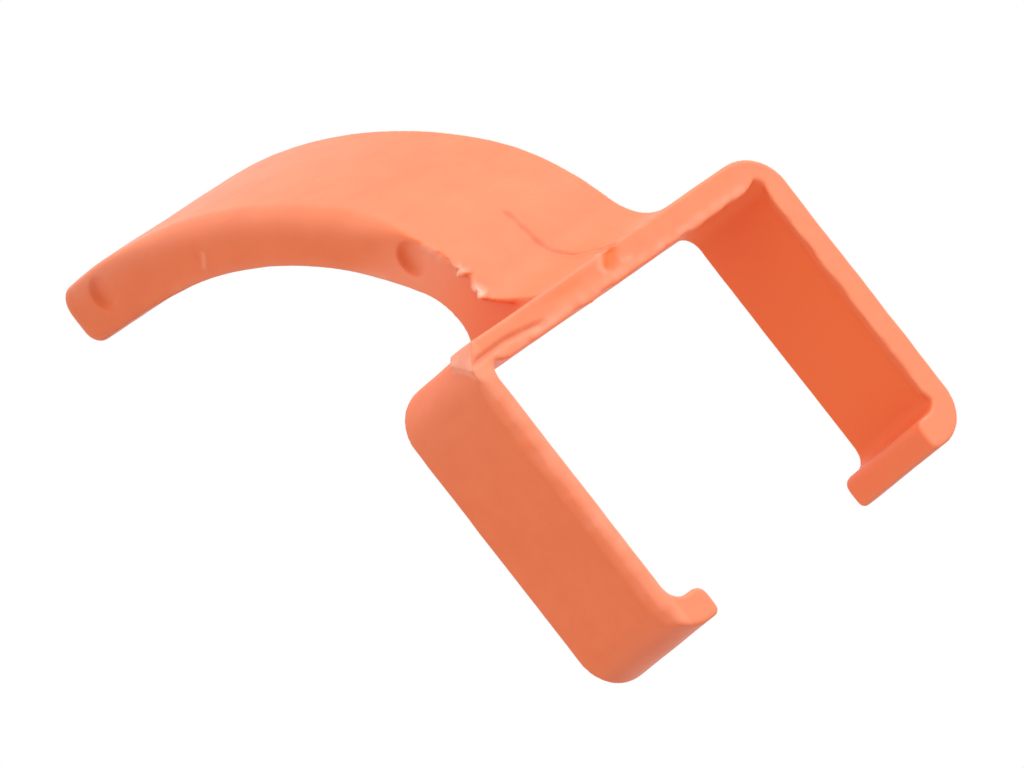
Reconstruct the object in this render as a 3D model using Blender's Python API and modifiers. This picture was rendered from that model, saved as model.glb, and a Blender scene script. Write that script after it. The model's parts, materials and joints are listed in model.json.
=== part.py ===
"""Clip-on cheek retractor: a C-shaped spring clip with a curved retractor arm on its back.

The clip snaps over the head of a handheld dental instrument. Its bridge spans the top, two
springy legs run down the sides and end in inward lips, and the arm sweeps up and back from the
bridge to a blunt rounded tip that holds the cheek away.

The object is one plastic moulding. It is divided here into its members where it bends: each
shoulder, leg, lip and stretch of the arm is a solid of its own, a parting gap away from the next.

Frame: metres, +Z up. X runs across the clip from the near leg (-X) to the far leg (+X), +Y is the
way the arm curls. The origin is the middle of the bridge's underside, where the instrument seats.
"""
import math

import bmesh
import bpy
from mathutils import Matrix, Vector

MM = 0.001

# --- driving dimensions, millimetres and degrees -------------------------------------------------
INNER_WIDTH = 22.0          # between the two legs
THROAT = 14.4               # from the bridge's underside down to the lips
DEPTH = 6.6                 # front rim to back rim
WALL = 1.25                 # legs and bridge
LIP_THICK = 1.65
LIP_REACH = 2.1             # how far each lip stands in from its leg
SHOULDER_R = (2.6, 2.2)     # outer corners at the top, across and up
HEEL_R = (2.4, 2.2)         # outer corners at the bottom, across and up
INNER_R = 0.95              # fillets inside the channel
SHOULDER_REACH = 1.6        # how far each shoulder runs in over the channel
LIP_TOP_R = 0.6
LIP_FOOT_R = 0.4

ARM_WIDTH = 10.2
ARM_TOP = 17.25             # crest of the arm's outer face above the seat
ARM_UNDER = 14.12           # level of the arm's inner face at its highest, were it to run on
ARM_REACH = 25.55           # from the clip's middle plane back to the tip
OUTER_LOW_R = 14.4          # outer face, rising part
OUTER_HIGH_R = 31.4         # outer face, part that curls back
INNER_LOW_R = 23.57         # inner face, rising part
INNER_HIGH_R = 58.84        # inner face, part that curls back
OUTER_JOIN = 131.15         # direction in which the two outer radii meet
INNER_JOIN = 100.1          # direction in which the two inner radii meet
BACK_JOIN = 140.77          # direction in which the inner face meets the back fillet
FOOT_R = 3.4                # fillets where the arm grows out of the bridge
HEEL_FOOT_R = 1.7           # the back fillet turns tighter at its foot, out to the back rim
CREST_Y = 24.65             # where the outer face is level
UNDER_Y = 28.14             # where the inner face would be level, past the tip
TIP_TOP_R = 1.2
TIP_FOOT_R = 1.0

STUB_TOP_X = 11.06          # trimmed gate stub on the near shoulder's front corner: the edge where
STUB_FRONT_FOOT = (12.15, 0.2)         # its cut face starts, the foot of the cut at the front rim
STUB_BACK_FOOT = (11.55, 0.75)         # and the foot of the cut at its back end
STUB_DEPTH = 1.85           # front rim to the stub's back end
STUB_FADE = 0.3             # and from there until it has sunk into the rounded corner

FLEX_DROP = 1.35            # how far below the seat the legs bend
HEEL_RISE = 1.35            # how far above the lips' upper faces the legs end
SOCKET_FLOOR = 0.7          # the arm's foot is let into the bridge down to here
GAP = 0.3                   # parting gap between neighbouring solids
RIM_BEVEL = 0.15

ARM_FLEX = 152.0            # arm stations, as directions on its outer and inner radii
ARM_FLEX_INNER = 153.0
ARM_MID = 120.0
ARM_MID_INNER = 118.9
ARM_TIP = 100.0
ARM_TIP_INNER = 98.1

# --- sizes that follow ---------------------------------------------------------------------------
INNER_X = INNER_WIDTH / 2
OUTER_X = INNER_X + WALL
FRONT = -DEPTH / 2
BOTTOM = -THROAT - LIP_THICK
HALF_GAP = GAP / 2

COLLECTION = "cheek_retractor"


def polar(centre, radius, degrees):
    """The point at a direction and distance from a centre, in an outline's own plane."""
    angle = math.radians(degrees)
    return (centre[0] + radius * math.cos(angle), centre[1] + radius * math.sin(angle))


def arc(centre, radius, start, end, steps=8):
    """Points along an arc from start to end, both in degrees and both included."""
    return [polar(centre, radius, start + (end - start) * i / steps) for i in range(steps + 1)]


def oval_arc(centre, radii, start, end, steps=8):
    """Points along an arc whose radius differs across and up."""
    return [(centre[0] + radii[0] * math.cos(angle), centre[1] + radii[1] * math.sin(angle))
            for angle in (math.radians(start + (end - start) * i / steps)
                          for i in range(steps + 1))]


def turn(length, radius):
    """The angle in degrees that an arc length takes on a radius."""
    return math.degrees(length / radius)


def mirrored(outline):
    """The same outline on the other side of the clip."""
    return [(-x, z) for x, z in reversed(outline)]


# --- the arm's construction circles, in the (Y, Z) plane ----------------------------------------
OUTER_HIGH = (CREST_Y, ARM_TOP - OUTER_HIGH_R)
OUTER_LOW = polar(OUTER_HIGH, OUTER_HIGH_R - OUTER_LOW_R, OUTER_JOIN)
INNER_HIGH = (UNDER_Y, ARM_UNDER - INNER_HIGH_R)
INNER_LOW = polar(INNER_HIGH, INNER_HIGH_R - INNER_LOW_R, INNER_JOIN)
BACK_FOOT = polar(INNER_LOW, INNER_LOW_R - FOOT_R, BACK_JOIN)


def front_foot_circle():
    """Centre of the front fillet, which touches the bridge's top and the arm's outer face."""
    z = WALL + FOOT_R
    across = math.sqrt((OUTER_LOW_R + FOOT_R) ** 2 - (z - OUTER_LOW[1]) ** 2)
    return (OUTER_LOW[0] - across, z)


FRONT_FOOT = front_foot_circle()
FOOT_TURN = math.degrees(math.atan2(FRONT_FOOT[1] - OUTER_LOW[1], OUTER_LOW[0] - FRONT_FOOT[0]))


# --- building ------------------------------------------------------------------------------------
def clear_scene():
    for old in list(bpy.data.objects):
        bpy.data.objects.remove(old, do_unlink=True)


def new_collection(name):
    collection = bpy.data.collections.new(name)
    bpy.context.scene.collection.children.link(collection)
    return collection


def plastic(name):
    """Soft-looking moulded orange plastic."""
    material = bpy.data.materials.new(name)
    material.use_nodes = True
    shader = material.node_tree.nodes["Principled BSDF"]
    shader.inputs["Base Color"].default_value = (0.83, 0.23, 0.10, 1.0)
    shader.inputs["Roughness"].default_value = 0.5
    shader.inputs["Metallic"].default_value = 0.0
    return material


def pivot(collection, name, place):
    """An empty on a flex line, which the pieces that swing about it are parented to."""
    empty = bpy.data.objects.new(name, None)
    empty.empty_display_size = 2 * MM
    empty.location = Vector(place) * MM
    collection.objects.link(empty)
    return empty


CLIP_PLANE = Matrix.Rotation(math.radians(90), 4, "X")
ARM_PLANE = Matrix.Rotation(math.radians(90), 4, "Z") @ Matrix.Rotation(math.radians(90), 4, "X")


def plate(collection, name, outline, thickness, plane, bevel=RIM_BEVEL):
    """A flat outline given a thickness, centred on its plane, with softened edges."""
    curve = bpy.data.curves.new(name + "_outline", "CURVE")
    curve.dimensions = "2D"
    curve.fill_mode = "BOTH"
    curve.extrude = thickness / 2 * MM
    spline = curve.splines.new("POLY")
    spline.points.add(len(outline) - 1)
    for point, (across, up) in zip(spline.points, outline):
        point.co = (across * MM, up * MM, 0.0, 1.0)
    spline.use_cyclic_u = True
    flat = bpy.data.objects.new(name + "_outline", curve)
    flat.matrix_world = plane
    collection.objects.link(flat)
    bpy.context.view_layer.update()

    evaluated = flat.evaluated_get(bpy.context.evaluated_depsgraph_get())
    mesh = bpy.data.meshes.new_from_object(evaluated)
    welded = bmesh.new()
    welded.from_mesh(mesh)
    bmesh.ops.remove_doubles(welded, verts=welded.verts, dist=0.001 * MM)
    bmesh.ops.transform(welded, matrix=plane, verts=welded.verts)
    bmesh.ops.recalc_face_normals(welded, faces=welded.faces)
    welded.to_mesh(mesh)
    welded.free()
    bpy.data.objects.remove(flat, do_unlink=True)

    piece = bpy.data.objects.new(name, mesh)
    mesh.name = name
    mesh.materials.clear()
    mesh.materials.append(plastic(name))
    collection.objects.link(piece)
    if bevel:
        edges = piece.modifiers.new("softened_edges", "BEVEL")
        edges.width = bevel * MM
        edges.segments = 2
        edges.limit_method = "ANGLE"
        edges.angle_limit = math.radians(40)
    return piece


def loft(collection, name, sections):
    """A closed skin through outlines of equal length, each at its own place along Y."""
    count = len(sections[0][1])
    skin = bmesh.new()
    rings = [[skin.verts.new((x * MM, y * MM, z * MM)) for x, z in outline]
             for y, outline in sections]
    for near, far in zip(rings, rings[1:]):
        for i in range(count):
            after = (i + 1) % count
            skin.faces.new((near[i], near[after], far[after], far[i]))
    skin.faces.new(rings[0])
    skin.faces.new(rings[-1])
    bmesh.ops.triangulate(skin, faces=skin.faces)
    bmesh.ops.recalc_face_normals(skin, faces=skin.faces)
    mesh = bpy.data.meshes.new(name)
    skin.to_mesh(mesh)
    skin.free()
    mesh.materials.append(plastic(name))
    piece = bpy.data.objects.new(name, mesh)
    collection.objects.link(piece)
    return piece


def swing_on(piece, empty):
    """Parents a piece to a flex line without moving it."""
    piece.parent = empty
    piece.location = -empty.location


# --- outlines of the clip, in the (X, Z) plane --------------------------------------------------
SHOULDER_X = INNER_X - SHOULDER_REACH  # where the bridge ends and the shoulders begin
FLEX_Z = -FLEX_DROP
HEEL_Z = -THROAT + HEEL_RISE
FLEX_X = INNER_X + WALL / 2            # the legs bend about the middle of their wall


def bridge_outline():
    """The flat span between the shoulders, let down in the middle to take the arm's foot."""
    side = SHOULDER_X - HALF_GAP
    socket = ARM_WIDTH / 2 + GAP
    return [(-side, 0.0), (side, 0.0), (side, WALL), (socket, WALL), (socket, SOCKET_FLOOR),
            (-socket, SOCKET_FLOOR), (-socket, WALL), (-side, WALL)]


def rounded_corner():
    """A shoulder's outer corner, from the bridge's top down to the leg's outer face."""
    across, up = SHOULDER_R
    return oval_arc((OUTER_X - across, WALL - up), SHOULDER_R, 90, 0)


def filled_corner(cut_foot):
    """The same corner filled out to a flat cut that runs from STUB_TOP_X down to cut_foot."""
    centre_x, centre_z = OUTER_X - SHOULDER_R[0], WALL - SHOULDER_R[1]
    slope = (WALL - cut_foot[1]) / (cut_foot[0] - STUB_TOP_X)
    corner = []
    for x, z in rounded_corner():
        right, up = x - centre_x, z - centre_z
        to_cut = slope * (STUB_TOP_X - centre_x) + WALL - centre_z
        reach = [to_cut / (slope * right + up)]
        if up > 1e-6:
            reach.append((WALL - centre_z) / up)
        if right > 1e-6:
            reach.append((OUTER_X - centre_x) / right)
        stretch = max(1.0, min(reach))
        corner.append((centre_x + stretch * right, centre_z + stretch * up))
    return corner


def far_shoulder_outline(corner):
    """A rounded corner of the clip, from the bridge's end down to the flex line."""
    start = SHOULDER_X + HALF_GAP
    foot = FLEX_Z + HALF_GAP
    inner = arc((INNER_X - INNER_R, -INNER_R), INNER_R, 0, 90, 5)
    return [(start, WALL)] + corner + [(OUTER_X, foot), (INNER_X, foot)] + inner + [(start, 0.0)]


def near_shoulder_sections():
    """The near shoulder from front rim to back rim, with the gate stub in its front corner."""
    rear = mirrored(far_shoulder_outline(rounded_corner()))
    return [(FRONT, mirrored(far_shoulder_outline(filled_corner(STUB_FRONT_FOOT)))),
            (FRONT + STUB_DEPTH, mirrored(far_shoulder_outline(filled_corner(STUB_BACK_FOOT)))),
            (FRONT + STUB_DEPTH + STUB_FADE, rear), (-FRONT, rear)]


def far_leg_outline():
    top = FLEX_Z - HALF_GAP
    foot = HEEL_Z + HALF_GAP
    return [(INNER_X, foot), (OUTER_X, foot), (OUTER_X, top), (INNER_X, top)]


def far_lip_outline():
    """The leg's foot, its rounded heel and the lip that turns in under the instrument."""
    top = HEEL_Z - HALF_GAP
    tip = INNER_X - LIP_REACH
    fillet = arc((INNER_X - INNER_R, -THROAT + INNER_R), INNER_R, 0, -90, 5)
    nose = arc((tip + LIP_TOP_R, -THROAT - LIP_TOP_R), LIP_TOP_R, 90, 180, 4)
    toe = arc((tip + LIP_FOOT_R, BOTTOM + LIP_FOOT_R), LIP_FOOT_R, 180, 270, 4)
    across, up = HEEL_R
    heel = oval_arc((OUTER_X - across, BOTTOM + up), HEEL_R, 270, 360)
    return [(OUTER_X, top), (INNER_X, top)] + fillet + nose + toe + heel


# --- outlines of the arm, in the (Y, Z) plane ---------------------------------------------------
def arm_root_outline():
    """The flared foot: fillets front and back spread it over the whole depth of the clip."""
    base = SOCKET_FLOOR + GAP
    front = arc(FRONT_FOOT, FOOT_R, 270, 360 - FOOT_TURN)
    rise = arc(OUTER_LOW, OUTER_LOW_R, 180 - FOOT_TURN, ARM_FLEX + turn(HALF_GAP, OUTER_LOW_R), 3)
    back = arc(BACK_FOOT, FOOT_R, ARM_FLEX_INNER + turn(HALF_GAP, FOOT_R), 180, 6)
    flare_y = BACK_FOOT[0] - FOOT_R + HEEL_FOOT_R
    flare_end = 180 + math.degrees(math.acos((flare_y + FRONT) / HEEL_FOOT_R))
    back += arc((flare_y, BACK_FOOT[1]), HEEL_FOOT_R, 180, flare_end, 5)[1:]
    return [(FRONT_FOOT[0], base)] + front + rise[1:] + back + [(-FRONT, base)]


def arm_lower_outline():
    """The stretch that rises from the foot and starts to curl back."""
    rise = arc(OUTER_LOW, OUTER_LOW_R, ARM_FLEX - turn(HALF_GAP, OUTER_LOW_R), OUTER_JOIN, 6)
    curl = arc(OUTER_HIGH, OUTER_HIGH_R, OUTER_JOIN, ARM_MID + turn(HALF_GAP, OUTER_HIGH_R), 5)
    under = arc(INNER_LOW, INNER_LOW_R, ARM_MID_INNER + turn(HALF_GAP, INNER_LOW_R), BACK_JOIN)
    back = arc(BACK_FOOT, FOOT_R, BACK_JOIN, ARM_FLEX_INNER - turn(HALF_GAP, FOOT_R), 3)
    return rise + curl[1:] + under + back[1:]


def arm_upper_outline():
    """The stretch that runs back over the cheek's edge."""
    over = arc(OUTER_HIGH, OUTER_HIGH_R, ARM_MID - turn(HALF_GAP, OUTER_HIGH_R),
               ARM_TIP + turn(HALF_GAP, OUTER_HIGH_R))
    far = arc(INNER_HIGH, INNER_HIGH_R, ARM_TIP_INNER + turn(HALF_GAP, INNER_HIGH_R), INNER_JOIN, 3)
    near = arc(INNER_LOW, INNER_LOW_R, INNER_JOIN, ARM_MID_INNER - turn(HALF_GAP, INNER_LOW_R))
    return over + far + near[1:]


def arm_tip_outline():
    """The last stretch, with its blunt rounded end."""
    top_y = ARM_REACH - TIP_TOP_R
    foot_y = ARM_REACH - TIP_FOOT_R
    crown = math.degrees(math.acos((top_y - CREST_Y) / OUTER_HIGH_R))
    sole = math.degrees(math.acos((foot_y - UNDER_Y) / INNER_HIGH_R))
    over = arc(OUTER_HIGH, OUTER_HIGH_R, ARM_TIP - turn(HALF_GAP, OUTER_HIGH_R), crown, 5)
    under = arc(INNER_HIGH, INNER_HIGH_R, sole, ARM_TIP_INNER - turn(HALF_GAP, INNER_HIGH_R), 5)
    nose = arc((top_y, over[-1][1] - TIP_TOP_R), TIP_TOP_R, 90, 0, 6)
    chin = arc((foot_y, under[0][1] + TIP_FOOT_R), TIP_FOOT_R, 0, -90, 6)
    return over + nose[1:] + chin + under[1:]


def build_clip(parts):
    plate(parts, "bridge", bridge_outline(), DEPTH, CLIP_PLANE, bevel=0)
    loft(parts, "near_shoulder", near_shoulder_sections())
    plate(parts, "far_shoulder", far_shoulder_outline(rounded_corner()), DEPTH, CLIP_PLANE)
    near_flex = pivot(parts, "near_leg_flex", (-FLEX_X, 0, FLEX_Z))
    far_flex = pivot(parts, "far_leg_flex", (FLEX_X, 0, FLEX_Z))
    for side, shape, empty in (("near", mirrored, near_flex), ("far", list, far_flex)):
        for name, outline in (("leg", far_leg_outline()), ("lip", far_lip_outline())):
            swing_on(plate(parts, side + "_" + name, shape(outline), DEPTH, CLIP_PLANE), empty)


def middle_of_station(outer, inner):
    """The middle of the arm's thickness at a station."""
    return ((outer[0] + inner[0]) / 2, (outer[1] + inner[1]) / 2)


def build_arm(parts):
    plate(parts, "arm_root", arm_root_outline(), ARM_WIDTH, ARM_PLANE)
    root_flex = pivot(parts, "arm_root_flex", (0, *middle_of_station(
        polar(OUTER_LOW, OUTER_LOW_R, ARM_FLEX), polar(BACK_FOOT, FOOT_R, ARM_FLEX_INNER))))
    mid_flex = pivot(parts, "arm_mid_flex", (0, *middle_of_station(
        polar(OUTER_HIGH, OUTER_HIGH_R, ARM_MID), polar(INNER_LOW, INNER_LOW_R, ARM_MID_INNER))))
    swing_on(plate(parts, "arm_lower", arm_lower_outline(), ARM_WIDTH, ARM_PLANE), root_flex)
    for name, outline in (("arm_upper", arm_upper_outline()), ("arm_tip", arm_tip_outline())):
        swing_on(plate(parts, name, outline, ARM_WIDTH, ARM_PLANE), mid_flex)


def main():
    clear_scene()
    parts = new_collection(COLLECTION)
    build_clip(parts)
    build_arm(parts)


main()
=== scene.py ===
"""Clip-on cheek retractor, moulded in one soft-looking orange plastic.

The looks are one continuous skin, made from the same outlines as the part, with the marks that
moulding leaves on it, and with light and shade painted into its colour. The skin is then parted
into members that ride on the part's bodies and bend across its flex lines. Work is in
millimetres; meshes are scaled to metres at the end.
"""
import json
import math

import bmesh
import bpy
import numpy as np
from mathutils import Matrix, Vector, noise

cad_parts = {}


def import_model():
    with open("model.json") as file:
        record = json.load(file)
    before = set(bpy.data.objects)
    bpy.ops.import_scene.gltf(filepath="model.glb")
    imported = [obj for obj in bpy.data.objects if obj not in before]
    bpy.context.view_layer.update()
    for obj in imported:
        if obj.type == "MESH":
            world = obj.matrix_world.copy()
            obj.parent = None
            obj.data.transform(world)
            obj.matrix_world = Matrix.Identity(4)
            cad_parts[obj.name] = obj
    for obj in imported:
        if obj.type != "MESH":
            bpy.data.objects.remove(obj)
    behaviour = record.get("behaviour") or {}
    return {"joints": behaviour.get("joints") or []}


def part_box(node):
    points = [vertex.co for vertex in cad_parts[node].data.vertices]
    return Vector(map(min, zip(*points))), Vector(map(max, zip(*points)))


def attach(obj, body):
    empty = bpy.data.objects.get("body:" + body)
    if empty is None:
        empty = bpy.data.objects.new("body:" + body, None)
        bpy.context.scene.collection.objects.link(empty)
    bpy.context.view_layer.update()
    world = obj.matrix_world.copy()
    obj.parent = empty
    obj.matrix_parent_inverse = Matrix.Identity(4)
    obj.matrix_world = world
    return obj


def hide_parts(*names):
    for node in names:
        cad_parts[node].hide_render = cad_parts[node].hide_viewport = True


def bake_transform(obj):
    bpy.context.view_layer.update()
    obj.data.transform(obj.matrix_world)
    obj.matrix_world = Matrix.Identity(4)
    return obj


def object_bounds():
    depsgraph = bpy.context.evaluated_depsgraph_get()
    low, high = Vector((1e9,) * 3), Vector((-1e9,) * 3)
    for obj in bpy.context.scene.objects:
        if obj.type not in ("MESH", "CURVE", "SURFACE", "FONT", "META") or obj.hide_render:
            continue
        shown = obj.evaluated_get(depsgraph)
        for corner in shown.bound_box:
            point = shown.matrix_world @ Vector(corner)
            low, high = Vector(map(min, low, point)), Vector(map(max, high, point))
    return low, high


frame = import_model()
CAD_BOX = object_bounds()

MM = 0.001


# --- helpers -------------------------------------------------------------------------------------
def smooth(start, end, value):
    """0 before start, 1 after end, and an even rise between. Takes numbers or arrays."""
    t = np.clip((np.asarray(value, float) - start) / (end - start), 0, 1)
    return t * t * (3 - 2 * t)


def bell(distance, width):
    """1 at no distance, and an even fall to next to nothing at twice the width."""
    return np.exp(-(distance / width) ** 2)


def polar(centre, radius, degrees):
    angle = math.radians(degrees)
    return (centre[0] + radius * math.cos(angle), centre[1] + radius * math.sin(angle))


def arc(centre, radii, start, end, step=4.0):
    """Points along an arc; radii is one radius, or a pair across and up."""
    across, up = radii if isinstance(radii, tuple) else (radii, radii)
    count = max(2, int(abs(end - start) / step))
    angles = [math.radians(start + (end - start) * i / count) for i in range(count + 1)]
    return [(centre[0] + across * math.cos(a), centre[1] + up * math.sin(a)) for a in angles]


def node_box(name):
    low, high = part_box(name)
    return low / MM, high / MM


# --- sizes of the clip, millimetres and degrees --------------------------------------------------
leg_low, leg_high = node_box("far_leg")
bridge_low, bridge_high = node_box("bridge")
lip_low, _ = node_box("far_lip")
INNER_X = leg_low.x
OUTER_X = leg_high.x
FRONT = bridge_low.y
BACK = bridge_high.y
TOP = bridge_high.z
BOTTOM = lip_low.z
LIP_TIP = lip_low.x
LIP_TOP = -14.4
SHOULDER_R = (2.6, 2.2)     # outer corners at the top, across and up
HEEL_R = (2.4, 2.2)         # outer corners at the bottom, across and up
INNER_R = 0.95
LIP_TOP_R = 0.6
LIP_FOOT_R = 0.4
RIM_R = 0.07                # softness of the clip's rims
NEAR_RIM_R = 0.8            # and of the near leg's front outer rim, which is worn
NEAR_RIM_X = (-11.4, -12.0) # the wear sets in towards the near leg's outer side
NEAR_RIM_Z = (0.0, -1.5)    # and below the shoulder
RIM_R_RANGE = (0.06, 1.15)  # the least and the most that the ragged front rim is rounded
STUB_BACK = FRONT + 1.85    # how far back the gate's stub reaches
# the stub's section in (X, Z), at the front rim and where it ends
STUB_FRONT_SECTION = ((-9.5, 1.25), (-11.06, 1.28), (-12.2, 0.05), (-12.25, -0.3),
                      (-12.25, -0.65), (-11.95, -0.65), (-9.5, 0.35))
STUB_BACK_SECTION = ((-9.5, 1.25), (-11.1, 1.34), (-11.45, 1.0), (-11.5, 0.5), (-9.5, 0.35))

# --- sizes of the arm ----------------------------------------------------------------------------
_, arm_high = node_box("arm_tip")
ARM_HALF = arm_high.x
ARM_REACH = arm_high.y
CREST = (24.65, 17.25)      # where the arm's outer face is level, in (Y, Z)
UNDER = (28.14, 14.12)      # where its inner face would be level
OUTER_LOW_R = 14.4          # outer face, rising part
OUTER_HIGH_R = 31.4         # outer face, part that curls back
INNER_LOW_R = 23.57         # the same two parts of the inner face
INNER_HIGH_R = 58.84
OUTER_JOIN = 131.15         # direction in which the two outer radii meet
INNER_JOIN = 100.1          # direction in which the two inner radii meet
BACK_JOIN = 140.77          # direction in which the inner face meets the back fillet
FOOT_R = 3.4                # fillets where the arm grows out of the bridge
HEEL_FOOT_R = 1.7           # the back fillet turns tighter at its foot, out to the back rim
TIP_TOP_R = 1.2
TIP_FOOT_R = 1.0
ARM_BASE = 0.5              # how low the arm's foot reaches inside the bridge
ARM_CRISP_R = 0.06          # the near edges of the arm are crisp near the foot
ARM_SOFT_R = 1.3            # the outer one grows soft
ARM_SOFT_Z = (6.8, 10.5)    # over this rise
ARM_UNDER_R = 0.2           # the inner one a little
ARM_UNDER_Z = (6.5, 7.0)
NOSE_R = 0.4                # and both come together round the tip,
NOSE_Y = (13.0, 22.0)       # the outer one over this run,
NOSE_MORE_R = 0.3           # with this much more at the middle of the turn
ARM_FAR_R = 0.05            # both far edges

# --- flash along the parting lines ---------------------------------------------------------------
FLASH_ROOT = 0.3            # how deep the flash inside the channel starts in the wall behind it
FLASH_THICK = 0.35          # its thickness at the free edge
FLASH_ROOT_THICK = 0.6
FLASH_STEP = 0.3
LEG_FLASH = 0.3             # how far it stands out from the far leg
LEG_FLASH_Z = (-0.2, -14.3) # and between which heights
BRIDGE_FLASH = 0.42         # how far it hangs down from the bridge
BRIDGE_FLASH_X = 10.8       # and how far to each side
FLASH_RAGGED = 0.14
# the torn flap on the arm's foot: height, and how far it stands out from the arm's near side
FLAP = ((1.5, -0.1), (1.8, 0.0), (2.2, 0.35), (2.65, 0.7), (2.95, 1.0), (3.27, 0.75),
        (3.74, 0.45), (4.2, 0.12), (4.67, 0.35), (5.12, 0.15), (5.8, 0.0), (7.2, -0.1))
FLAP_RAGGED = 0.18
FLAP_ROOT = 0.4             # how deep the flap starts in the arm
FLAP_THICK = 0.22           # at its free edge, and twice that at its root
FLAP_STEP = 0.15

# --- fineness of the meshes ----------------------------------------------------------------------
CLIP_STEP = 0.35            # between points along the clip's straight runs
RIM_TURN = 9                # degrees between the rings of a rounded rim
VOXEL = 0.1


# --- outlines ------------------------------------------------------------------------------------
def clip_outline():
    """The clip in (X, Z): bridge, legs, heels and lips, clockwise from the top."""
    far = arc((OUTER_X - SHOULDER_R[0], TOP - SHOULDER_R[1]), SHOULDER_R, 90, 0)
    far += arc((OUTER_X - HEEL_R[0], BOTTOM + HEEL_R[1]), HEEL_R, 0, -90)
    far += arc((LIP_TIP + LIP_FOOT_R, BOTTOM + LIP_FOOT_R), LIP_FOOT_R, 270, 180, 15)
    far += arc((LIP_TIP + LIP_TOP_R, LIP_TOP - LIP_TOP_R), LIP_TOP_R, 180, 90, 12)
    far += arc((INNER_X - INNER_R, LIP_TOP + INNER_R), INNER_R, -90, 0, 9)
    far += arc((INNER_X - INNER_R, -INNER_R), INNER_R, 0, 90, 9)
    return far + [(-x, z) for x, z in reversed(far)]


OUTER_HIGH = (CREST[0], CREST[1] - OUTER_HIGH_R)
OUTER_LOW = polar(OUTER_HIGH, OUTER_HIGH_R - OUTER_LOW_R, OUTER_JOIN)
INNER_HIGH = (UNDER[0], UNDER[1] - INNER_HIGH_R)
INNER_LOW = polar(INNER_HIGH, INNER_HIGH_R - INNER_LOW_R, INNER_JOIN)
BACK_FOOT = polar(INNER_LOW, INNER_LOW_R - FOOT_R, BACK_JOIN)
FRONT_FOOT_Z = TOP + FOOT_R
FRONT_FOOT = (OUTER_LOW[0] - math.sqrt((OUTER_LOW_R + FOOT_R) ** 2
                                       - (FRONT_FOOT_Z - OUTER_LOW[1]) ** 2), FRONT_FOOT_Z)
FOOT_TURN = math.degrees(math.atan2(FRONT_FOOT[1] - OUTER_LOW[1], OUTER_LOW[0] - FRONT_FOOT[0]))


def arm_outline():
    """The arm in (Y, Z), clockwise from its front foot over the crest and back underneath,
    with the rounding of its near and far side edges at each point."""
    top_y = ARM_REACH - TIP_TOP_R
    foot_y = ARM_REACH - TIP_FOOT_R
    crown = math.degrees(math.acos((top_y - CREST[0]) / OUTER_HIGH_R))
    sole = math.degrees(math.acos((foot_y - UNDER[0]) / INNER_HIGH_R))
    flare_y = BACK_FOOT[0] - FOOT_R + HEEL_FOOT_R
    back_end = 180 + math.degrees(math.acos((flare_y - BACK + RIM_R) / HEEL_FOOT_R))
    front_start = 270 + math.degrees(math.asin((FRONT + RIM_R - FRONT_FOOT[0]) / FOOT_R))

    over = arc(FRONT_FOOT, FOOT_R, front_start, 360 - FOOT_TURN)
    over += arc(OUTER_LOW, OUTER_LOW_R, 180 - FOOT_TURN, OUTER_JOIN, 2)[1:]
    over += arc(OUTER_HIGH, OUTER_HIGH_R, OUTER_JOIN, crown, 1)[1:]
    nose = arc((top_y, over[-1][1] - TIP_TOP_R), TIP_TOP_R, 90, 0, 9)[1:]
    under = arc(INNER_HIGH, INNER_HIGH_R, sole, INNER_JOIN, 1)
    chin = arc((foot_y, under[0][1] + TIP_FOOT_R), TIP_FOOT_R, 0, -90, 9)
    under += arc(INNER_LOW, INNER_LOW_R, INNER_JOIN, BACK_JOIN, 2)[1:]
    under += arc(BACK_FOOT, FOOT_R, BACK_JOIN, 180)[1:]
    under += arc((flare_y, BACK_FOOT[1]), HEEL_FOOT_R, 180, back_end)[1:]
    foot = [(under[-1][0], ARM_BASE), (over[0][0], ARM_BASE)]

    nose += chin
    near = [ARM_CRISP_R + (ARM_SOFT_R - ARM_CRISP_R) * smooth(*ARM_SOFT_Z, z)
            + (NOSE_R - ARM_SOFT_R) * smooth(*NOSE_Y, y) for y, z in over]
    near += [NOSE_R + NOSE_MORE_R * math.sin(math.pi * i / len(nose)) for i in range(len(nose))]
    near += [ARM_CRISP_R + (ARM_UNDER_R - ARM_CRISP_R) * smooth(*ARM_UNDER_Z, z)
             for _, z in under[1:]]
    near += [ARM_CRISP_R] * len(foot)
    far = [ARM_FAR_R] * (len(near) - len(foot)) + [ARM_CRISP_R] * len(foot)
    return over + nose + under[1:] + foot, near, far


def arm_faces():
    """The arm's outline in (Y, Z), in two at its crest: the outer face, and all the rest."""
    outline = arm_outline()[0]
    crest = max(range(len(outline)), key=lambda i: outline[i][1])
    return outline[:crest], outline[crest:]


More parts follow.
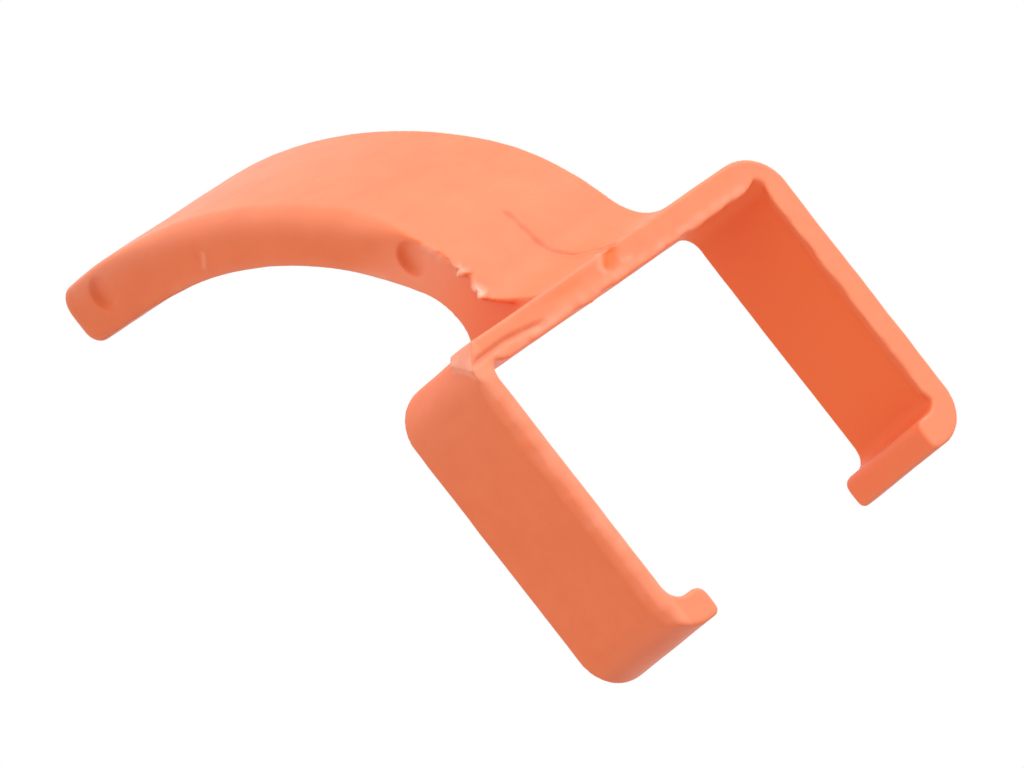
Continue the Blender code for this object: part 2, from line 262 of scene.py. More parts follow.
# --- solid blanks --------------------------------------------------------------------------------
def soft_slab(skin, outline, low, high, place):
    """Adds an outline drawn out between two levels, given as (level, rounding of that rim)."""
    points = np.array(outline, float)
    along = np.roll(points, -1, 0) - np.roll(points, 1, 0)
    along /= np.linalg.norm(along, axis=1)[:, None]
    inward = np.stack([along[:, 1], -along[:, 0]], 1)   # outlines run clockwise
    rings = []
    turns = [math.radians(a) for a in range(90, -1, -RIM_TURN)]
    for (edge, rounding), sense, angles in ((low, 1, turns), (high, -1, turns[::-1])):
        soft = np.broadcast_to(np.asarray(rounding, float), len(points))
        for a in angles:
            inset = points + inward * (soft * (1 - math.cos(a)))[:, None]
            level = edge + sense * soft * (1 - math.sin(a))
            rings.append([skin.verts.new(place(u, v, w)) for (u, v), w in zip(inset, level)])
    for near, far in zip(rings, rings[1:]):
        for i in range(len(points)):
            j = (i + 1) % len(points)
            skin.faces.new((near[i], near[j], far[j], far[i]))
    caps = [skin.faces.new(rings[0]), skin.faces.new(rings[-1])]
    for cap in caps:
        cap.normal_update()                 # triangulate needs it, and a new face has none
    bmesh.ops.triangulate(skin, faces=caps)


def evenly(outline, step):
    """The same closed outline with more points along its straight runs."""
    filled = []
    for start, end in zip(outline, outline[1:] + outline[:1]):
        count = max(1, round(math.dist(start, end) / step))
        filled += [(start[0] + (end[0] - start[0]) * i / count,
                    start[1] + (end[1] - start[1]) * i / count) for i in range(count)]
    return filled


def worn_rim(outline):
    """The rounding of the clip's front rim: ragged, and soft down the near leg's outer side."""
    rounding = []
    for x, z in outline:
        ragged = noise.noise(Vector((x * 0.9, 3.1, z * 0.9))) \
            + 0.7 * noise.noise(Vector((x * 2.1, 8.6, z * 2.1)))
        soft = float(smooth(*NEAR_RIM_X, x) * smooth(*NEAR_RIM_Z, z))
        size = RIM_R + (NEAR_RIM_R - RIM_R) * soft
        rounding.append(size + (0.09 + 0.16 * soft) * ragged)
    return np.clip(rounding, *RIM_R_RANGE)


def hull(skin, points):
    """Adds the convex solid around some points."""
    corners = [skin.verts.new(p) for p in points]
    made = bmesh.ops.convex_hull(skin, input=corners)
    loose = [v for v in made["geom_interior"] if isinstance(v, bmesh.types.BMVert)]
    bmesh.ops.delete(skin, geom=loose, context="VERTS")


def drawn_through(skin, rings):
    """Adds the closed solid through some rings of vertices."""
    for near, far in zip(rings, rings[1:]):
        for i in range(len(near)):
            j = (i + 1) % len(near)
            skin.faces.new((near[i], near[j], far[j], far[i]))
    skin.faces.new(rings[0])
    skin.faces.new(rings[-1])


def gate_stub(skin):
    """The stub left where the gate was trimmed off the near shoulder's front corner."""
    front = [(x, FRONT, z) for x, z in STUB_FRONT_SECTION]
    back = [(x, STUB_BACK, z) for x, z in STUB_BACK_SECTION]
    hull(skin, front + back)


def flash_section(reach):
    """The section of a lip of flash: how far each corner stands out from the wall, and its Y."""
    return ((-FLASH_ROOT, FRONT), (reach, FRONT), (reach, FRONT + FLASH_THICK),
            (-FLASH_ROOT, FRONT + FLASH_ROOT_THICK))


def flash_lips(skin):
    """Ragged lips of flash inside the channel's front rim: under the bridge and down the far leg.
    Both sink into the wall at their ends."""
    down_leg = []
    for z in np.arange(*LEG_FLASH_Z, -FLASH_STEP):
        reach = LEG_FLASH + FLASH_RAGGED * noise.noise(Vector((z * 0.8, 1.0, 9.0)))
        reach *= float(smooth(-0.1, -1.6, z) * smooth(-14.4, -13.2, z))
        down_leg.append([skin.verts.new((INNER_X - out, y, z)) for out, y in flash_section(reach)])
    drawn_through(skin, down_leg)
    under_bridge = []
    for x in np.arange(-BRIDGE_FLASH_X, BRIDGE_FLASH_X + 0.01, FLASH_STEP):
        drop = BRIDGE_FLASH + FLASH_RAGGED * noise.noise(Vector((x * 0.8, 5.0, 2.0)))
        drop *= float(smooth(10.9, 9.6, abs(x)))
        under_bridge.append([skin.verts.new((x, y, -out)) for out, y in flash_section(drop)])
    drawn_through(skin, under_bridge)


def torn_flap(skin):
    """A flap of flash that stands out sideways from the near front edge of the foot."""
    outer, _ = arm_faces()
    edge = np.array([p for p in outer if p[1] < 9.0])
    along = np.gradient(edge, axis=0)
    along /= np.linalg.norm(along, axis=1)[:, None]
    heights, reaches = zip(*FLAP)
    root = -ARM_HALF + FLAP_ROOT
    rings = []
    for z in np.arange(heights[0], heights[-1], FLAP_STEP):
        y, way_y, way_z = (np.interp(z, edge[:, 1], v) for v in (edge[:, 0], *along.T))
        ragged = FLAP_RAGGED * noise.noise(Vector((3.0, 7.0, z * 2.3)))
        tip = -ARM_HALF - max(-0.05, float(np.interp(z, heights, reaches)) + ragged)
        rings.append([skin.verts.new((x, y + deep * way_z, z - deep * way_y)) for x, deep in (
            (root, 0), (tip, 0), (tip, FLAP_THICK), (root, 2 * FLAP_THICK))])
    drawn_through(skin, rings)


def blank():
    """Clip, arm and stub fused into one even skin."""
    skin = bmesh.new()
    clip = evenly(clip_outline(), CLIP_STEP)
    soft_slab(skin, clip, (FRONT, worn_rim(clip)), (BACK, RIM_R), lambda u, v, w: (u, w, v))
    arm, near, far = arm_outline()
    soft_slab(skin, arm, (-ARM_HALF, near), (ARM_HALF, far), lambda u, v, w: (w, u, v))
    gate_stub(skin)
    torn_flap(skin)
    flash_lips(skin)
    bmesh.ops.recalc_face_normals(skin, faces=skin.faces)
    mesh = bpy.data.meshes.new("blank")
    skin.to_mesh(mesh)
    skin.free()
    solid = bpy.data.objects.new("blank", mesh)
    bpy.context.scene.collection.objects.link(solid)
    remesh = solid.modifiers.new("even", "REMESH")
    remesh.mode = "VOXEL"
    remesh.voxel_size = VOXEL
    remesh.adaptivity = 0
    relax = solid.modifiers.new("relax", "SMOOTH")
    relax.factor = 0.5
    relax.iterations = 3
    bpy.context.view_layer.update()
    evaluated = solid.evaluated_get(bpy.context.evaluated_depsgraph_get())
    fused = bpy.data.meshes.new_from_object(evaluated)
    bpy.data.objects.remove(solid, do_unlink=True)
    bpy.data.meshes.remove(mesh)
    return fused


# --- marks of moulding, and painted light and shade ----------------------------------------------
# Places are (X, Y, Z) in millimetres, and so are pushes and widths. Tints, the painted light
# and shade, run from 0 to 1.
class Skin:
    """The skin's vertices as arrays, and what the marks do to them: a push outwards along the
    normal, a free move, and how pale, deep or dark the colour is there, which is painted light and
    shade."""

    def __init__(self, mesh):
        count = len(mesh.vertices)
        co = np.zeros(count * 3)
        mesh.vertices.foreach_get("co", co)
        normal = np.zeros(count * 3, np.float32)
        mesh.vertex_normals.foreach_get("vector", normal)
        self.mesh = mesh
        self.co = co.reshape(-1, 3)
        self.normal = normal.reshape(-1, 3).astype(float)
        self.push = np.zeros(count)
        self.move = np.zeros((count, 3))
        self.pale = np.zeros(count)
        self.deep = np.zeros(count)
        self.dark = np.zeros(count)

    def facing(self, *way):
        """How far the surface looks a given way, -1 to 1."""
        return self.normal @ np.array(way, float)

    def apply(self):
        """Moves the vertices, inside the part's box, and leaves the tints as attributes."""
        co = self.co + self.normal * self.push[:, None] + self.move
        low, high = (np.array(corner) / MM for corner in CAD_BOX)
        self.mesh.vertices.foreach_set("co", np.clip(co, low, high).ravel())
        self.mesh.update()
        normal = np.zeros(len(co) * 3, np.float32)
        self.mesh.vertex_normals.foreach_get("vector", normal)
        for name, amount in (("pale", self.pale), ("deep", self.deep), ("dark", self.dark)):
            layer = self.mesh.attributes.new(name, "FLOAT", "POINT")
            layer.data.foreach_set("value", np.clip(amount, 0, 1).astype(np.float32))
        layer = self.mesh.attributes.new("whole_normal", "FLOAT_VECTOR", "POINT")
        layer.data.foreach_set("vector", normal)


def line_distance(places, line):
    """How far each place is from a line through 3-D points, and how far along it, 0 to 1."""
    line = np.array(line, float)
    lengths = np.linalg.norm(np.diff(line, axis=0), axis=1)
    best = np.full(len(places), 1e9)
    share = np.zeros(len(places))
    for i, (a, b) in enumerate(zip(line, line[1:])):
        t = np.clip((places - a) @ (b - a) / lengths[i] ** 2, 0, 1)
        gap = np.linalg.norm(places - a - t[:, None] * (b - a), axis=1)
        closer = gap < best
        best[closer] = gap[closer]
        share[closer] = ((lengths[:i].sum() + t * lengths[i]) / lengths.sum())[closer]
    return best, share


def clouds(places, size, seed):
    """Even noise, about -0.6 to 0.6, with features of a given size."""
    shift = Vector((seed * 7.3, seed * -3.1, seed * 5.7))
    return np.array([noise.noise(Vector(p) / size + shift) for p in places])


def uneven(skin):
    """The surface is never quite flat."""
    skin.push += 0.03 * clouds(skin.co, 3.2, 1) + 0.01 * clouds(skin.co, 0.9, 2)


EJECTOR_MARKS = (           # on the arm's near side: the centre's Y and Z, radius, depth
    (22.2, 15.78, 1.0, 0.26),
    (14.37, 13.82, 0.9, 0.04),
    (2.83, 6.66, 1.0, 0.3))
FAINT_MARK_HIGHLIGHT = ((-ARM_HALF, 15.1, 13.3), (-ARM_HALF, 14.6, 13.8))


def ejector_marks(skin):
    """Round marks on the arm's near side, dished, deepest on the side of the tip, with painted
    shade deepest and darkest there. The faint middle one has a short line of painted highlight
    beside it."""
    x, y, z = skin.co.T
    side = smooth(0.75, 0.95, skin.facing(-1, 0, 0)) * (x < -4.4) * (z > 1.6)
    for centre_y, centre_z, radius, depth in EJECTOR_MARKS:
        across = (y - centre_y) / radius
        up = (z - centre_z) / radius
        inside = 1 - smooth(0.66, 1.04, np.hypot(across, up))
        tilt = np.clip(0.5 + 0.5 * across + 0.15 * up, 0, 1)
        skin.move[:, 0] += side * depth * tilt * inside
        shown = side * (1 - smooth(0.9, 1.04, np.hypot(across, up))) * min(1.0, depth * 4)
        # painted shade in the dish, deepest and darkest on the side of the tip
        skin.deep += shown * tilt
        skin.dark += 0.55 * shown * tilt ** 2
    # a short line of painted highlight at the faint mark's edge
    gap, _ = line_distance(skin.co, FAINT_MARK_HIGHLIGHT)
    skin.pale += 0.3 * bell(gap, 0.12)


TORN_EDGE = (               # the flap's free edge, downwards
    (-5.3, 1.9, 7.6), (-5.35, 1.12, 6.0), (-5.4, 0.5, 4.8), (-5.3, 0.2, 4.2),
    (-5.8, -0.1, 3.3), (-6.0, -0.3, 2.95), (-5.7, -0.5, 2.6), (-5.4, -0.9, 2.2))
# where it has painted glints: share of the edge, width of the spot, how pale
TORN_GLINTS = ((0.76, 0.09, 1.0), (0.5, 0.06, 0.7), (0.2, 0.1, 0.4))


def torn_flash(skin):
    """The torn flap's edge is ragged, and has painted glints of highlight where it is thinnest."""
    gap, share = line_distance(skin.co, TORN_EDGE)
    ragged = clouds(skin.co, 0.4, 4)
    torn = bell(gap, 0.35) * smooth(0.0, 0.15, share) * (1 - smooth(0.9, 1.0, share))
    skin.move[:, 0] -= 0.2 * torn * ragged
    skin.move[:, 1] += 0.12 * torn * np.abs(ragged)
    # painted highlight: glints along the thinnest parts of the torn edge
    lips = sum(amount * bell(share - middle, width) for middle, width, amount in TORN_GLINTS)
    skin.pale += bell(gap, 0.4) * np.clip(lips, 0, 1) * smooth(-0.35, 0.15, ragged)


FLOW_LINE = (               # down the front of the foot and out to the front rim
    (-0.02, 1.25, 6.2), (-0.1, 1.0, 5.85), (-0.33, 0.4, 4.7), (-0.5, 0.0, 3.6),
    (-0.45, -0.4, 2.9), (-0.32, -0.69, 2.42), (0.0, -1.23, 1.92), (0.5, -1.75, 1.62),
    (0.55, -2.5, 1.34), (0.4, -3.1, 1.24))


def flow_line(skin):
    """A fold in the plastic down the front of the foot, with painted shade along it, and a low
    ridge beside its lower part.
    """
    wander = 0.12 * np.stack([clouds(skin.co, 0.9, seed) for seed in (11, 12, 13)], 1)
    gap, share = line_distance(skin.co + wander, FLOW_LINE)
    cut = smooth(0.0, 0.12, share) * (0.8 + 0.5 * clouds(skin.co, 0.8, 6))
    skin.push -= 0.1 * cut * bell(gap, 0.14)
    # painted shade in the fold
    skin.dark += 0.5 * cut * bell(gap, 0.16)
    gap, share = line_distance(skin.co, [(x - 0.28, y, z) for x, y, z in FLOW_LINE[3:]])
    skin.push += 0.05 * smooth(0.1, 0.5, share) * bell(gap, 0.2)


NOTCH = ((-0.15, FRONT, 1.05), (-0.5, FRONT, 0.65), (-0.75, FRONT, 0.45))
NOTCH_HOOK = ((-1.0, FRONT + 0.15, 1.25), (-1.15, FRONT, 0.9), (-1.4, FRONT, 0.6),
              (-1.35, FRONT, 0.35))
NOTCH_RIDGE = ((0.1, FRONT, 0.3), (0.7, FRONT, 0.22))


def rim_notch(skin):
    """The notch that the fold ends in, with painted shade in it, a curled hook of plastic beside
    it, and a low ridge on its other side, both with a painted highlight."""
    front = smooth(0.3, 0.8, skin.facing(0, -1, 0))
    gap, _ = line_distance(skin.co, NOTCH)
    skin.push -= 0.2 * bell(gap, 0.36)
    # painted shade in the notch
    skin.deep += 1.3 * front * bell(gap, 0.4)
    skin.dark += 0.15 * front * bell(gap, 0.3)
    for line, height, width in ((NOTCH_HOOK, 0.06, 0.2), (NOTCH_RIDGE, 0.04, 0.16)):
        gap, _ = line_distance(skin.co, line)
        skin.push += height * bell(gap, width)
        # painted highlight on the hook and the ridge
        skin.pale += 0.22 * front * bell(gap, width)


STEP_STATIONS = (           # X, how high the step's top edge is, how deep it is
    (-12.2, 0.3, 0.0), (-11.3, 0.52, 0.16), (-9.3, 0.56, 0.15), (-8.1, 0.44, 0.15),
    (-6.9, 0.26, 0.1), (-6.3, 0.2, 0.0))
HOLLOW = (-3.9, 0.6)        # X and Z
HOLLOW_SIZE = (2.0, 0.4)
RIM_EDGE_HIGHLIGHT = ((-10.2, FRONT, -0.1), (10.2, FRONT, -0.1))


def rim_step(skin):
    """A torn step along the near half of the front rim, with painted shade under its top edge, and
    a shallow hollow past its end, with painted shade in it. The rim's lower edge has a painted
    highlight along it."""
    x, _, z = skin.co.T
    front = smooth(0.3, 0.8, skin.facing(0, -1, 0))
    stations, tops, depths = zip(*STEP_STATIONS)
    depth = np.interp(x, stations, depths)
    below = (np.interp(x, stations, tops) - z) / 0.5
    sunk = smooth(-0.05, 0.2, below) * (1 - smooth(0.25, 1.0, below))
    skin.push -= front * depth * sunk * (1 + 0.5 * clouds(skin.co, 0.9, 7))
    # painted shade in the sunk band under the step, darkest just under its top edge
    skin.deep += 1.2 * front * depth * sunk
    skin.dark += 1.8 * front * depth * bell(below - 0.25, 0.3)
    hollow = bell(np.hypot((x - HOLLOW[0]) / HOLLOW_SIZE[0], (z - HOLLOW[1]) / HOLLOW_SIZE[1]), 1.0)
    skin.push -= 0.06 * front * hollow
    # painted shade in the hollow
    skin.deep += 0.35 * front * hollow
    gap, _ = line_distance(skin.co, RIM_EDGE_HIGHLIGHT)
    # painted highlight along the rim's lower edge
    skin.pale += 0.2 * bell(gap, 0.25) * (0.6 + clouds(skin.co, 0.7, 9))


CUT_WAY = (-0.73, 0, 0.68)  # the way the gate's cut looks


def cut_gate(skin):
    """The gate stub's cut face, turned up to the light, is painted pale as light falling on it, and
    so are its small side and back.
    """
    x, y, z = skin.co.T
    left = -11.42 - 0.42 * (STUB_BACK - y)          # the cut widens towards the front rim
    near = (x > left) * (x < -10.95) * (y < STUB_BACK + 0.05) * (z > 0.0)
    cut = near * smooth(0.75, 0.9, skin.facing(*CUT_WAY))
    # painted light on the cut face
    skin.pale += 0.5 * cut * (0.9 + 0.4 * clouds(skin.co, 0.6, 8))
    side = (x < -11.3) * (y < STUB_BACK + 0.1) * (z > -0.7)
    # painted light on the stub's side and back, which turn away from the light
    skin.pale += 0.25 * side * smooth(0.12, 0.25, skin.facing(0, 1, 0))


def channel_painted_bounce(skin):
    """Painted bounce light and shade: the orange is deeper inside the channel, where light bounces
    between its orange walls, and on the far lip's end, which also gets a little painted light.
    """
    x, y, z = skin.co.T
    channel = (x > 8.0) * (x < 11.6) * (y > FRONT + 0.2) * (z < 0.3)
    lip = smooth(-14.2, -14.6, z)
    inward = smooth(0.05, 0.4, skin.facing(-1, 0, 0))
    under = smooth(0.5, 0.9, skin.facing(0, 0, -1)) * smooth(8.6, 9.8, x)
    # painted bounce light and shade on the channel's inner and downward faces
    skin.deep += 0.9 * channel * (1 - lip) * np.maximum(inward, under)
    lip_end = smooth(0.3, 0.8, skin.facing(-1, 0, 0)) * (x > 8.0) * (x < 9.8) * lip
    # painted bounce light on the far lip's end, with a little painted light
    skin.deep += 0.9 * lip_end
    skin.pale += 0.11 * lip_end


def rim_painted_light(skin):
    """Painted light on faces turned to the light: the clip's front rim, most on the legs, and the
    near leg's worn edge and shoulder."""
    x, y, z = skin.co.T
    front = smooth(0.3, 0.8, skin.facing(0, -1, 0)) * smooth(FRONT + 0.2, FRONT + 0.1, y)
    on_bridge = smooth(-0.5, 0.3, z)
    # painted light on the front rim, which faces the light
    skin.pale += (0.13 - 0.04 * on_bridge) * front * (1 - np.clip(skin.deep, 0, 1))
    outward = smooth(0.3, 0.9, skin.facing(-1, 0, 0)) * (x < -10.5)
    # painted light on the near shoulder, where its rounding turns up to the light
    skin.pale += 0.06 * outward * smooth(-5.0, 0.0, z)
    # painted light on the near leg's worn front edge
    worn = (x < -10.9) * smooth(FRONT + 1.2, FRONT + 0.5, y)
    worn = worn * smooth(0.2, 0.6, skin.facing(0, -1, 0))
    skin.pale += 0.1 * worn * (1 + clouds(skin.co, 0.8, 14))


def arm_painted_light_and_shade(skin):
    """Painted light and shade on the arm: painted light along its near edges, where their rounding
    turns to the light, and on its side towards the foot, painted paler and deeper against the
    flap's shadow; painted shade on the side towards the tip, and deeper and darker on faces that
    look down."""
    x, y, z = skin.co.T
    outer, inner = ([(-ARM_HALF, *p) for p in face] for face in arm_faces())
    gap, _ = line_distance(skin.co, [p for p in outer if p[2] > 7.5])
    # painted light where the outer near edge's rounding turns up to the light
    skin.pale += 0.2 * bell(gap, 0.9) * smooth(7.5, 10.0, z)
    gap, _ = line_distance(skin.co, [p for p in inner if 6.7 < p[2] < 13.3 and p[1] < 20.0])
    # painted highlight along the inner near edge
    skin.pale += bell(gap, 0.4) * (0.1 * smooth(6.6, 6.8, z) + 0.12 * bell(z - 7.3, 0.8))
    side = smooth(0.75, 0.95, skin.facing(-1, 0, 0)) * (np.abs(x + ARM_HALF) < 0.7) * (z > 1.3)
    # painted light and bounce on the side near the foot, lifting it out of the flap's shadow
    foot = side * smooth(9.0, 6.0, z) * (1 - np.clip(skin.deep, 0, 1))
    higher = smooth(3.0, 6.0, z)
    skin.pale += (0.2 + 0.1 * higher) * foot
    skin.deep += (0.9 - 0.2 * higher) * foot
    # painted shade on the side towards the tip
    skin.dark += 0.1 * side * smooth(15.0, 22.0, y)
    # painted shade on faces that look down, on the arm and on the clip
    below = smooth(0.5, 0.8, skin.facing(0, 0, -1))
    skin.dark += 0.5 * below * smooth(11.0, 17.0, y)
    skin.deep += below * (0.8 * smooth(8.0, 14.0, y) + 0.6 * (z > -1.0) * (y < BACK))
    skin.dark += 0.25 * below * (z < -14.0)


def mark(mesh):
    """Works all the marks, and the tints of painted light and shade, into the skin."""
    skin = Skin(mesh)
    for feature in (uneven, ejector_marks, torn_flash, flow_line, rim_notch, rim_step, cut_gate,
                    channel_painted_bounce, rim_painted_light, arm_painted_light_and_shade):
        feature(skin)
    skin.apply()


# --- parting -------------------------------------------------------------------------------------
def part(source, point, normal):
    """Splits a closed bmesh at a plane into two closed ones: behind the plane, and ahead."""
    halves = []
    for ahead in (False, True):
        half = source.copy()
        cut = bmesh.ops.bisect_plane(
            half, geom=half.verts[:] + half.edges[:] + half.faces[:], dist=1e-5,
            plane_co=point, plane_no=normal, clear_outer=not ahead, clear_inner=ahead)
        rim = [e for e in cut["geom_cut"] if isinstance(e, bmesh.types.BMEdge)]
        caps = bmesh.ops.holes_fill(half, edges=rim, sides=0)["faces"]
        for cap in caps:
            cap.smooth = False
            cap.normal_update()
        bmesh.ops.triangulate(half, faces=caps)
        halves.append(half)
    source.free()
    return halves


def keep_normals(mesh):
    """Gives a parted skin the whole skin's normals, so that no seam shows. Its cuts are flat."""
    kept = np.zeros(len(mesh.vertices) * 3, np.float32)
    mesh.attributes["whole_normal"].data.foreach_get("vector", kept)
    kept = kept.reshape(-1, 3)
    kept /= np.maximum(np.linalg.norm(kept, axis=1), 1e-9)[:, None]
    corner = np.zeros(len(mesh.loops), np.int32)
    mesh.loops.foreach_get("vertex_index", corner)
    smooth_face = np.zeros(len(mesh.polygons), bool)
    mesh.polygons.foreach_get("use_smooth", smooth_face)
    corners = np.zeros(len(mesh.polygons), np.int32)
    mesh.polygons.foreach_get("loop_total", corners)
    face_normal = np.zeros(len(mesh.polygons) * 3, np.float32)
    mesh.polygons.foreach_get("normal", face_normal)
    flat = np.repeat(~smooth_face, corners)
    normals = kept[corner]
    normals[flat] = np.repeat(face_normal.reshape(-1, 3), corners, axis=0)[flat]
    mesh.normals_split_custom_set(normals.tolist())
    mesh.attributes.remove(mesh.attributes["whole_normal"])


def finished(skin, name, material, *replaced):
    """Makes a parted skin into an object in metres that stands for some of the part's nodes."""
    mesh = bpy.data.meshes.new(name)
    skin.to_mesh(mesh)
    skin.free()
    places = np.zeros(len(mesh.vertices) * 3, np.float32)
    mesh.vertices.foreach_get("co", places)
    mesh.attributes.new("rest_mm", "FLOAT_VECTOR", "POINT").data.foreach_set("vector", places)
    keep_normals(mesh)
    mesh.transform(Matrix.Scale(MM, 4))
    mesh.materials.append(material)
    piece = bpy.data.objects.new(name, mesh)
    bpy.context.scene.collection.objects.link(piece)
    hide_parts(*replaced)
    return piece


# --- material ------------------------------------------------------------------------------------
ORANGE = ((0.80, 0.150, 0.040, 1), (0.84, 0.172, 0.050, 1))     # the two ends of its clouding
# colours of the painted light and shade: deeper for bounce light and shade, darker for shade, paler
# for light and highlights
PAINTED_BOUNCE_AND_SHADE_ORANGE = (0.92, 0.145, 0.014, 1)
PAINTED_SHADE_ORANGE = (0.50, 0.060, 0.012, 1)
PAINTED_LIGHT_ORANGE = (0.95, 0.45, 0.32, 1)
CLOUD_SCALE = 0.45          # features to a millimetre
GRAIN_SCALE = 5.0
ROUGHNESS = (0.46, 0.58)    # from the grain's lows to its highs
GRAIN_STRENGTH = 0.12
GRAIN_HEIGHT = 0.00005


def orange_plastic():
    """Matte orange moulding: faint clouding, fine grain, and the skin's painted light and shade:
    paler for painted light, deeper and darker for painted shade and bounce light.
    """
    material = bpy.data.materials.new("orange_plastic_moulded")
    material.use_nodes = True
    tree = material.node_tree
    shader = tree.nodes["Principled BSDF"]

    def node(kind, **values):
        made = tree.nodes.new(kind)
        for key, value in values.items():
            setattr(made, key, value)
        return made

    def joined(source, target, name):
        tree.links.new(source, target.inputs[name])

    def mixed(first, share, colour):
        """Goes from a colour to another by a share; sockets 6 and 7 are Mix's two colours."""
        mix = node("ShaderNodeMix", data_type="RGBA")
        tree.links.new(first, mix.inputs[6])
        mix.inputs[7].default_value = colour
        joined(node("ShaderNodeAttribute", attribute_name=share).outputs["Fac"], mix, "Factor")
        return mix.outputs[2]

    places = node("ShaderNodeAttribute", attribute_name="rest_mm")

    cloud = node("ShaderNodeTexNoise")
    cloud.inputs["Scale"].default_value = CLOUD_SCALE
    cloud.inputs["Detail"].default_value = 4.0
    cloud.inputs["Roughness"].default_value = 0.6
    joined(places.outputs["Vector"], cloud, "Vector")
    ramp = node("ShaderNodeValToRGB")
    for stop, position, colour in zip(ramp.color_ramp.elements, (0.3, 0.7), ORANGE):
        stop.position = position
        stop.color = colour
    joined(cloud.outputs["Fac"], ramp, "Fac")
    # painted shade and bounce light, then painted light, from the skin's tints
    deepened = mixed(ramp.outputs["Color"], "deep", PAINTED_BOUNCE_AND_SHADE_ORANGE)
    darkened = mixed(deepened, "dark", PAINTED_SHADE_ORANGE)
    painted_lit = mixed(darkened, "pale", PAINTED_LIGHT_ORANGE)
    joined(painted_lit, shader, "Base Color")

    grain = node("ShaderNodeTexNoise")
    grain.inputs["Scale"].default_value = GRAIN_SCALE
    grain.inputs["Detail"].default_value = 3.0
    joined(places.outputs["Vector"], grain, "Vector")
    rough = node("ShaderNodeMapRange")
    rough.inputs["To Min"].default_value = ROUGHNESS[0]
    rough.inputs["To Max"].default_value = ROUGHNESS[1]
    joined(grain.outputs["Fac"], rough, "Value")
    joined(rough.outputs["Result"], shader, "Roughness")
    bump = node("ShaderNodeBump")
    bump.inputs["Strength"].default_value = GRAIN_STRENGTH
    bump.inputs["Distance"].default_value = GRAIN_HEIGHT
    joined(grain.outputs["Fac"], bump, "Height")
    joined(bump.outputs["Normal"], shader, "Normal")
    shader.inputs["IOR"].default_value = 1.5
    shader.inputs["Sheen Weight"].default_value = 0.12
    shader.inputs["Sheen Roughness"].default_value = 0.4
    shader.inputs["Metallic"].default_value = 0.0
    return material


# --- pieces --------------------------------------------------------------------------------------
JOINTS = {joint["name"]: joint for joint in frame["joints"]}
DOWN = (0, 0, -1)
ACROSS = (1, 0, 0)
LEG_FLEX_Z = JOINTS["far_leg_flex"]["pos_m"][2] / MM
LEG_BEND = 1.35             # half the length over which a leg's root bends
LEG_CUT = LEG_FLEX_Z - LEG_BEND - 0.1
HEEL_CUT = -13.05
SHOULDER_CUT = 9.3
ROOT_WAY = Vector((0, 0.469, 0.883))        # the arm's run at its two flex stations
MID_WAY = Vector((0, 0.866, 0.5))
ROOT_BEND = 1.7             # half the lengths over which the arm bends there
MID_BEND = 2.8
BEND_TO_CUT = 0.2
TIP_CUT = (0, 19.5, 15.2)
TIP_WAY = (0, 0.985, 0.176)


def side_pieces(side, shoulder, lower, material):
    """One side of the clip: its shoulder bends, and its leg and lip ride below."""
    leg, lip = part(lower, (0, 0, HEEL_CUT), DOWN)
    body = side + "_side"
    piece = finished(shoulder, side + "_shoulder_skin", material, side + "_shoulder")
    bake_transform(piece)
    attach(finished(leg, side + "_leg_skin", material, side + "_leg"), body)
    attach(finished(lip, side + "_lip_skin", material, side + "_lip"), body)


def middle_pieces(middle, material):
    """The bridge with the arm's foot, and the arm in three: it bends at the foot and at mid run."""
    root = Vector(JOINTS["arm_root_flex"]["pos_m"]) / MM
    mid = Vector(JOINTS["arm_mid_flex"]["pos_m"]) / MM
    foot, rest = part(middle, root + ROOT_WAY * (ROOT_BEND + BEND_TO_CUT), ROOT_WAY)
    rise, rest = part(rest, mid - MID_WAY * (MID_BEND + BEND_TO_CUT), MID_WAY)
    curl, tip = part(rest, TIP_CUT, TIP_WAY)
    piece = finished(foot, "bridge_and_foot_skin", material, "bridge", "arm_root")
    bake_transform(piece)
    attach(finished(rise, "arm_lower_skin", material, "arm_lower"), "arm_low")
    piece = finished(curl, "arm_upper_skin", material, "arm_upper")
    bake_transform(piece)
    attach(finished(tip, "arm_tip_skin", material, "arm_tip"), "arm_high")


def build():
    """Makes the marked skin, parts it at the flex lines and hangs the pieces on the bodies."""
    mesh = blank()
    mark(mesh)
    skin = bmesh.new()
    skin.from_mesh(mesh)
    bpy.data.meshes.remove(mesh)
    for face in skin.faces:
        face.smooth = True
    plastic = orange_plastic()
    upper, lower = part(skin, (0, 0, LEG_CUT), DOWN)
    near_lower, far_lower = part(lower, (0, 0, 0), ACROSS)
    near_upper, rest = part(upper, (-SHOULDER_CUT, 0, 0), ACROSS)
    middle, far_upper = part(rest, (SHOULDER_CUT, 0, 0), ACROSS)
    side_pieces("near", near_upper, near_lower, plastic)
    side_pieces("far", far_upper, far_lower, plastic)
    middle_pieces(middle, plastic)


build()


# --- studio --------------------------------------------------------------------------------------
CAMERA_AZIMUTH = -43.0
CAMERA_ELEVATION = -3.03
CAMERA_ROLL = -37.82
CAMERA_DISTANCE = 0.4415
CAMERA_ASIDE = (-0.003769, -0.004199)       # across and up in the camera's own axes
LENS = 320.5                # millimetres, on a 36 mm sensor
SOFTBOX_WAY = (0.62, -0.55, 0.56)
LIT_FROM = (0.448, -0.418, 0.79)            # where the world is brightest
WORLD_LOW = 0.62            # its light on the far side of that, and where it is brightest
WORLD_HIGH = 1.35
FLOOR_Z = -0.06
FLOOR_GREY = (0.6, 0.6, 0.6, 1)


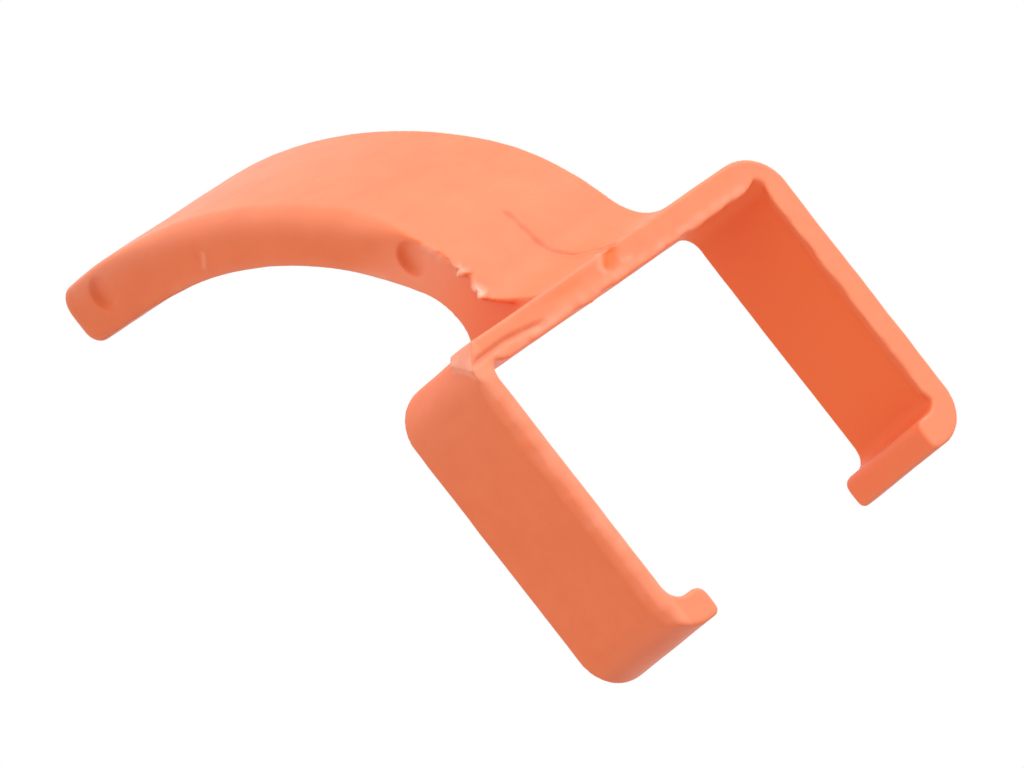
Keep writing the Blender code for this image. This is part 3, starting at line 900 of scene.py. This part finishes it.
def axes(azimuth, elevation, roll):
    """Right, up and back of a camera, in the part's frame."""
    az = math.radians(azimuth)
    el = math.radians(elevation)
    back = Vector((math.sin(az) * math.cos(el), -math.cos(az) * math.cos(el), math.sin(el)))
    right = (-back).cross(Vector((0, 0, 1))).normalized()
    up = right.cross(-back)
    c = math.cos(math.radians(roll))
    s = math.sin(math.radians(roll))
    return right * c + up * s, up * c - right * s, back


def placed(data, name, place, right, up, back):
    """Adds a camera or light at a place, with its own axes along right, up and back."""
    thing = bpy.data.objects.new(name, data)
    bpy.context.scene.collection.objects.link(thing)
    turn = Matrix((right, up, back)).transposed().to_4x4()
    thing.matrix_world = Matrix.Translation(place) @ turn
    return thing


def camera():
    """A long lens from slightly below, rolled so that the clip leans."""
    data = bpy.data.cameras.new("camera")
    data.sensor_width = 36.0
    data.lens = LENS
    data.clip_start = 0.01
    data.clip_end = 20.0
    right, up, back = axes(CAMERA_AZIMUTH, CAMERA_ELEVATION, CAMERA_ROLL)
    place = back * CAMERA_DISTANCE + right * CAMERA_ASIDE[0] + up * CAMERA_ASIDE[1]
    bpy.context.scene.camera = placed(data, "camera", place, right, up, back)


def softbox(name, way, distance, size, power):
    """A round light that looks at the part from a direction."""
    data = bpy.data.lights.new(name, "AREA")
    data.shape = "DISK"
    data.size = size
    data.energy = power
    back = Vector(way).normalized()
    right = Vector((0, 0, 1)).cross(back).normalized()
    placed(data, name, back * distance, right, back.cross(right), back)


def floor():
    """A pale round floor, well below the part, which the instrument would hold up."""
    disc = bmesh.new()
    bmesh.ops.create_circle(disc, cap_ends=True, radius=1.4, segments=96)
    mesh = bpy.data.meshes.new("floor")
    disc.to_mesh(mesh)
    disc.free()
    material = bpy.data.materials.new("pale_floor")
    material.use_nodes = True
    shader = material.node_tree.nodes["Principled BSDF"]
    shader.inputs["Base Color"].default_value = FLOOR_GREY
    shader.inputs["Roughness"].default_value = 0.9
    mesh.materials.append(material)
    thing = bpy.data.objects.new("floor", mesh)
    thing.location.z = FLOOR_Z
    bpy.context.scene.collection.objects.link(thing)


def world():
    """White behind the part. It lights the part more from above and from its front right."""
    made = bpy.data.worlds.new("white_studio")
    made.use_nodes = True
    tree = made.node_tree
    shine = tree.nodes["Background"]
    shine.inputs["Color"].default_value = (1, 1, 1, 1)
    way = tree.nodes.new("ShaderNodeTexCoord")
    height = tree.nodes.new("ShaderNodeVectorMath")
    height.operation = "DOT_PRODUCT"
    height.inputs[1].default_value = LIT_FROM
    level = tree.nodes.new("ShaderNodeMapRange")
    level.inputs["From Min"].default_value = -1.0
    level.inputs["To Min"].default_value = WORLD_LOW
    level.inputs["To Max"].default_value = WORLD_HIGH
    seen = tree.nodes.new("ShaderNodeLightPath")
    strength = tree.nodes.new("ShaderNodeMix")
    strength.inputs["B"].default_value = 1.0
    tree.links.new(way.outputs["Generated"], height.inputs[0])
    tree.links.new(height.outputs["Value"], level.inputs["Value"])
    tree.links.new(level.outputs["Result"], strength.inputs["A"])
    tree.links.new(seen.outputs["Is Camera Ray"], strength.inputs["Factor"])
    tree.links.new(strength.outputs["Result"], shine.inputs["Strength"])
    bpy.context.scene.world = made


bpy.context.scene.view_settings.view_transform = "Standard"
camera()
softbox("overhead", SOFTBOX_WAY, distance=0.5, size=0.55, power=1.6)
floor()
world()
